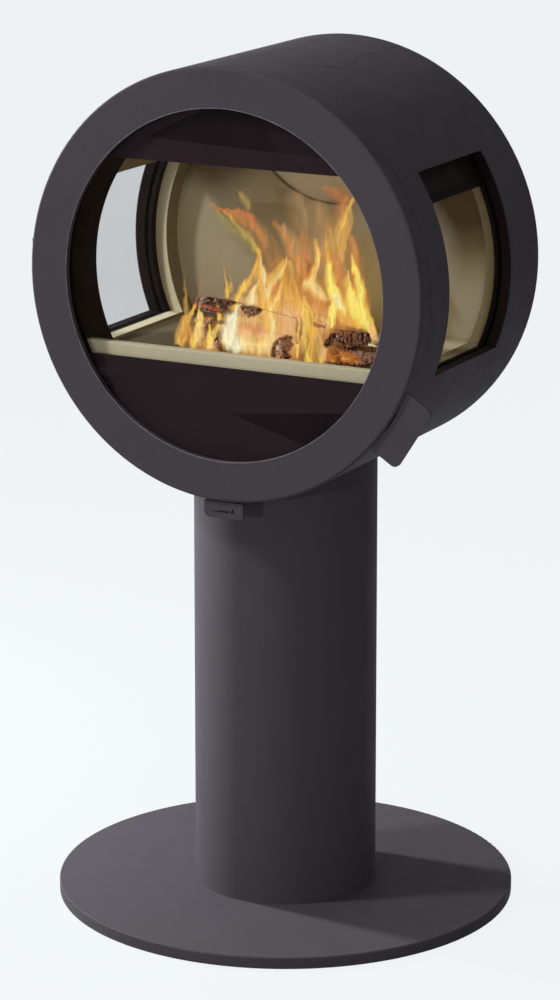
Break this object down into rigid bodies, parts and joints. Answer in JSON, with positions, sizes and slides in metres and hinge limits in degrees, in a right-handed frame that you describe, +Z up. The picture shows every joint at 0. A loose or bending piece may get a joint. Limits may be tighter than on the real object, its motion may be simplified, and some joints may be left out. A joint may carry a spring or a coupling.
{
  "type": "pedestal wood-burning stove",
  "caption": "Pedestal wood stove: short horizontal drum with a round glass door and curved side windows, on a round column and disc base; logs inside.",
  "frame": {"origin": "centre of the base plate's underside, on the floor", "axes": "+Z up, the glass door faces -Y, the flue collar leaves towards +Y"},
  "size_m": [0.5659, 0.566, 1.053],
  "materials": {
    "outer_paint": "fine matt heat-proof paint, charcoal",
    "inner_paint": "matt black heat-proof paint",
    "zinc_steel": "zinc-plated",
    "fire_board": "pressed vermiculite, matt, slightly grainy",
    "fire_glass": "clear glass ceramic",
    "black_print": "fired black print",
    "glass_rope": "braided glass-fibre rope",
    "charred_wood": "charred bark and split wood"
  },
  "bodies": {
    "root": {"base_plate": "outer_paint", "column_tube": "outer_paint", "body_shell": "outer_paint", "top_cover": "outer_paint", "rear_panel": "outer_paint", "hinge_bracket": "outer_paint", "front_frame": "inner_paint", "throat_ring": "inner_paint", "window_frame_left": "inner_paint", "window_frame_right": "inner_paint", "chamber_roof": "inner_paint", "chamber_belly": "inner_paint", "chamber_posts": "inner_paint", "chamber_back": "inner_paint", "top_spigot": "inner_paint", "top_blanking_plate": "inner_paint", "hearth_plate": "inner_paint", "smoke_shelf": "inner_paint", "air_box": "inner_paint", "flue_collar": "inner_paint", "top_cover_seat": "inner_paint", "body_saddle": "inner_paint", "column_head_plate": "inner_paint", "column_foot_ring": "inner_paint", "rear_panel_lugs": "inner_paint", "levelling_screws": "zinc_steel", "foot_screws": "zinc_steel", "saddle_bolts": "zinc_steel", "saddle_nuts": "zinc_steel", "rear_panel_screws": "zinc_steel", "air_pipe": "zinc_steel", "hinge_pin": "zinc_steel", "floor_slab": "fire_board", "front_bar": "fire_board", "side_liner_left": "fire_board", "side_liner_right": "fire_board", "back_liner": "fire_board", "back_liner_plug": "fire_board", "baffle_slab": "fire_board", "window_glass_left": "fire_glass", "window_glass_right": "fire_glass", "window_seals": "glass_rope", "firewood_logs": "charred_wood"},
    "door": {"door_ring": "outer_paint", "door_glass": "fire_glass", "glass_print": "black_print", "glass_seal": "glass_rope", "glass_clips": "zinc_steel", "glass_clip_screws": "zinc_steel", "door_rope": "glass_rope", "door_hinge_leaves": "outer_paint", "latch_pin": "zinc_steel"},
    "handle": {"handle_plate": "outer_paint", "latch_arm": "inner_paint", "latch_spring": "zinc_steel"},
    "air_control": {"air_lever": "outer_paint", "air_slide": "zinc_steel"}
  },
  "joints": [
    {"name": "door_hinge", "type": "hinge", "parent": "root", "child": "door", "pos_m": [-0.265, -0.13, 0.793], "axis": [0, 0, -1], "range_deg": [0, 110]},
    {"name": "handle_pivot", "type": "hinge", "parent": "door", "child": "handle", "pos_m": [0.21254, -0.157, 0.6576], "axis": [-0.5373, 0, -0.8434], "range_deg": [0, 12], "stiffness_Nm_per_rad": 1.5, "springref_deg": -5.73},
    {"name": "air_slide_travel", "type": "slide", "parent": "root", "child": "air_control", "axis": [1, 0, 0], "range_m": [-0.02, 0.02]}
  ]
}
